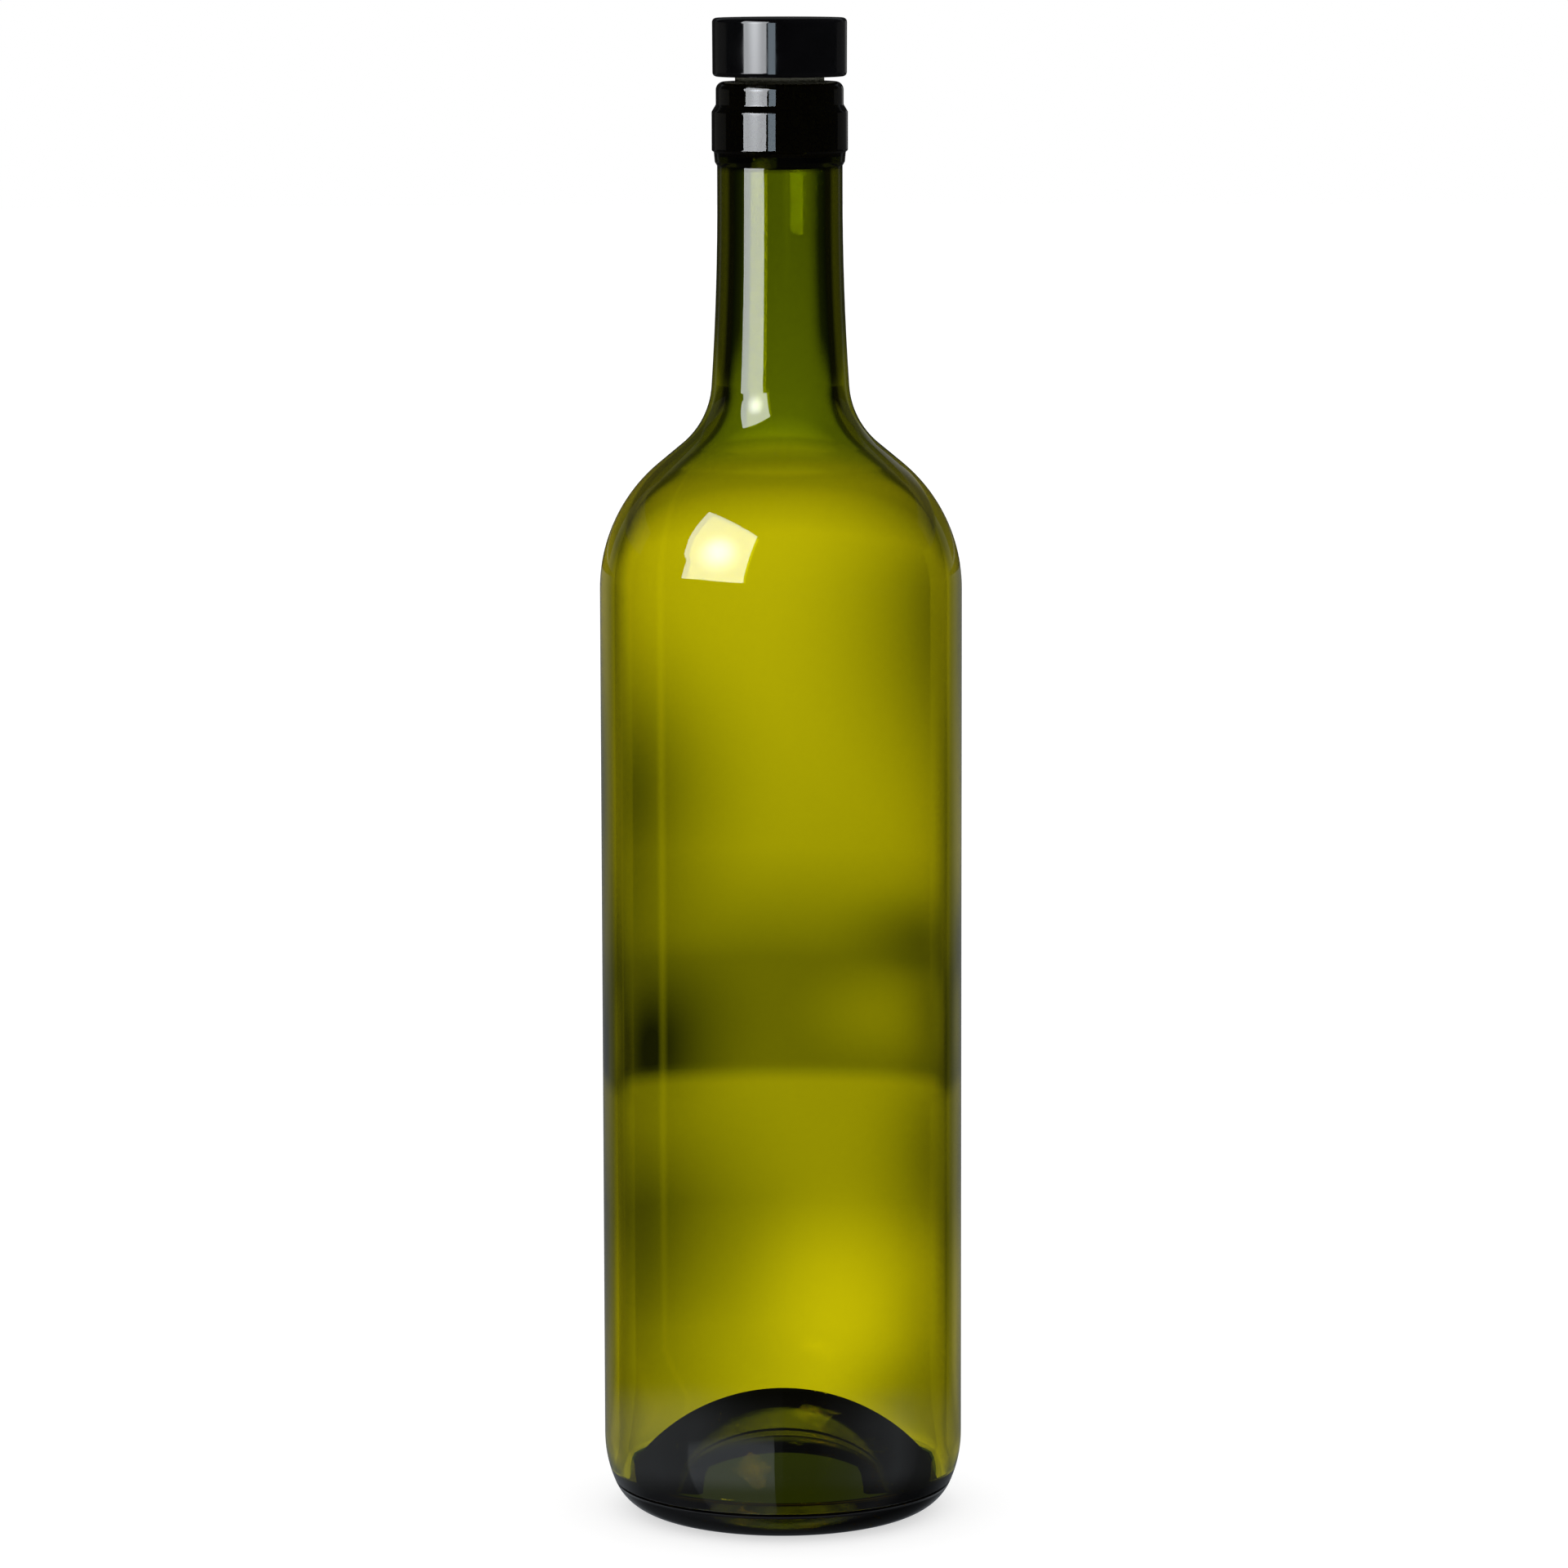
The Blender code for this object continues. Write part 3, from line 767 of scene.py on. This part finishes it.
def make_tent():
    """A glowing tent round the bottle that only the light through its glass meets."""
    shape = bmesh.new()
    foot = shape.verts.new(point(TENT_FOOT, CLOTH_ABOVE_FLOOR))
    tip = straight_to(shape, foot, point(TENT_RADIUS, CLOTH_ABOVE_FLOOR))
    straight_to(shape, tip, point(TENT_RADIUS, TENT_HEIGHT))
    spin_round(shape, TENT_STEPS)
    tent = new_object("tent", shape)
    made, out = new_material("tent cloth")
    tree = made.node_tree
    place = add(tree, "ShaderNodeTexCoord").outputs["Object"]
    axes = add(tree, "ShaderNodeSeparateXYZ", {0: place}).outputs
    flat = add(tree, "ShaderNodeVectorMath", {0: place, 1: (1, 1, 0)}, operation="MULTIPLY").outputs[0]
    radius = add(tree, "ShaderNodeVectorMath", {0: flat}, operation="LENGTH").outputs["Value"]
    inside = add(tree, "ShaderNodeMath", {0: radius, 1: TENT_RADIUS}, operation="SUBTRACT").outputs[0]
    # the cloth on the floor carries the wall's pattern on, as if below the floor
    height = add(tree, "ShaderNodeMath", {
        0: inside, 1: CLOTH_DROP, 2: axes["Z"]}, operation="MULTIPLY_ADD").outputs[0]
    # radians round from straight behind the bottle, over 0 on the camera's right
    bearing = add(tree, "ShaderNodeMath", {0: axes["X"], 1: axes["Y"]}, operation="ARCTAN2").outputs[0]
    away = add(tree, "ShaderNodeMath", {0: bearing}, operation="ABSOLUTE").outputs[0]
    level = cloth_level(tree, bearing, away, height)
    side = add(tree, "ShaderNodeMath", {
        0: bearing, 1: WINDOW_APART / 2, 2: -WINDOW_APART / 2}, operation="WRAP").outputs[0]
    side = add(tree, "ShaderNodeMath", {0: side}, operation="ABSOLUTE").outputs[0]
    window = add(tree, "ShaderNodeMapRange", {
        "Value": side, "From Min": WINDOW_EDGES[0], "From Max": WINDOW_EDGES[1],
        "To Min": 1.0, "To Max": BESIDE_WINDOW}, **SOFT).outputs[0]
    up_high = add(tree, "ShaderNodeMapRange", {
        "Value": height, "From Min": WINDOW_HEIGHTS[0], "From Max": WINDOW_HEIGHTS[1]}, **SOFT).outputs[0]
    window = add(tree, "ShaderNodeMix", {0: up_high, 2: 1.0, 3: window}).outputs[0]
    level = add(tree, "ShaderNodeMath", {0: level, 1: window}, operation="MULTIPLY").outputs[0]
    level = add(tree, "ShaderNodeMath", {0: level, 1: DARKEST}, operation="MAXIMUM").outputs[0]

    # what is seen through the punt's glass as well crosses six faces, and is brighter and greener
    path, unscattered, mirrored, past = light_tests(tree)
    green = add(tree, "ShaderNodeMath", {0: level, 1: GREENER}, operation="POWER").outputs[0]
    through_punt = add(tree, "ShaderNodeMapRange", {
        "Value": path["Transmission Depth"], "From Min": PAST_THE_PUNT[0],
        "From Max": PAST_THE_PUNT[1]}, **SOFT).outputs[0]
    lifted = []
    for part, lift in ((level, PUNT_RED), (green, PUNT_GREEN)):
        times = add(tree, "ShaderNodeMath", {
            0: through_punt, 1: lift - 1, 2: 1.0}, operation="MULTIPLY_ADD").outputs[0]
        lifted.append(add(tree, "ShaderNodeMath", {0: part, 1: times}, operation="MULTIPLY").outputs[0])
    hue = add(tree, "ShaderNodeCombineColor", {
        "Red": lifted[0], "Green": lifted[1], "Blue": level}).outputs[0]

    # the cloth glows in light that has crossed more than one wall or was mirrored on its way
    shown = add(tree, "ShaderNodeMath", {0: past, 1: mirrored}, operation="MAXIMUM").outputs[0]
    shown = add(tree, "ShaderNodeMath", {0: shown, 1: unscattered}, operation="MULTIPLY").outputs[0]
    glow = add(tree, "ShaderNodeEmission", {"Color": hue, "Strength": shown})
    # mirrored light passes the cloth at the sides, high up, and once it has crossed a wall
    clear = add(tree, "ShaderNodeMath", {0: away, 1: OPEN_FROM}, operation="GREATER_THAN").outputs[0]
    for also in (past, up_high):
        clear = add(tree, "ShaderNodeMath", {0: clear, 1: also}, operation="MAXIMUM").outputs[0]
    clear = add(tree, "ShaderNodeMath", {0: mirrored, 1: clear}, operation="MULTIPLY").outputs[0]
    nothing = add(tree, "ShaderNodeBsdfTransparent")
    cloth = add(tree, "ShaderNodeMixShader", {0: clear, 1: glow.outputs[0], 2: nothing.outputs[0]})
    tree.links.new(cloth.outputs[0], out.inputs["Surface"])
    tent.data.materials.append(made)
    tent.visible_camera = False
    tent.visible_diffuse = False
    tent.visible_glossy = False
    tent.visible_shadow = False


SOFTBOX = {"azimuth": -45, "distance": 290 * MM, "colour": (0.97, 1.0, 1.04, 1), "strength": 8.2,
           "hot_place": (-15, 350), "hot": 10.8}


def make_lamps_and_cards():
    """What the gloss shows as highlights, and the cards that keep the rest of it dark or dim."""
    make_panel("softbox", corners=(
        (94, 244), (-86, 246), (-86, 270), (-120, 272), (-150, 483), (132, 573), (126, 400), (112, 325),
        (92, 303)), **SOFTBOX)
    # two edges of it that only the shoulder or only the neck has in its gloss
    make_panel("softbox shoulder edge", corners=(
        (-86, 246), (-120, 250), (-120, 272), (-86, 270)), farthest=289 * MM, **SOFTBOX)
    make_panel("softbox neck edge", corners=(
        (122, 244), (94, 244), (94, 270), (122, 270)), nearest=293 * MM, **SOFTBOX)
    # a narrow pale blue band beside the softbox's highlight on the mouth and the cap
    make_panel("side strip", azimuth=-12.5, distance=60 * MM, corners=(
        (5.1, 282.5), (-6.5, 282.5), (-6.5, 318), (5.1, 318)),
        colour=(0.82, 1.0, 1.15, 1), strength=3.5, farthest=60 * MM)
    # dark, behind the neck and the cap, so that their gloss is dark up to the edge
    make_panel("back card", azimuth=180, distance=400 * MM, corners=(
        (300, 205), (-300, 205), (-300, 460), (300, 460)),
        colour=WHITE, strength=0.02, shows_through=False)
    # dim cards that draw the sides of the cap and the mouth
    make_panel("right card", azimuth=137, distance=300 * MM, corners=(
        (130, 271), (-130, 271), (-130, 340), (130, 340)),
        colour=WHITE, strength=0.05, hot_place=(-130, 305), hot=0.25, shows_through=False)
    make_panel("left card", azimuth=-122, distance=300 * MM, corners=(
        (110, 271), (-110, 271), (-110, 340), (110, 340)),
        colour=(1, 1, 0.95, 1), strength=0.07, shows_through=False)


SCENE.view_settings.view_transform = "Standard"
make_camera()
make_world()
make_floor()
make_lamps_and_cards()
make_apron()
make_tent()

for piece, material, node, slot in (
        (make_glass(), bottle_glass(), "glass_bottle", "glass"),
        (make_cork(), cork_material(), "stopper_cork", "cork"),
        (make_cap(), cap_plastic(), "stopper_cap", "cap")):
    piece.data.materials.append(material)
    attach(piece, "root")
    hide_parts(node)
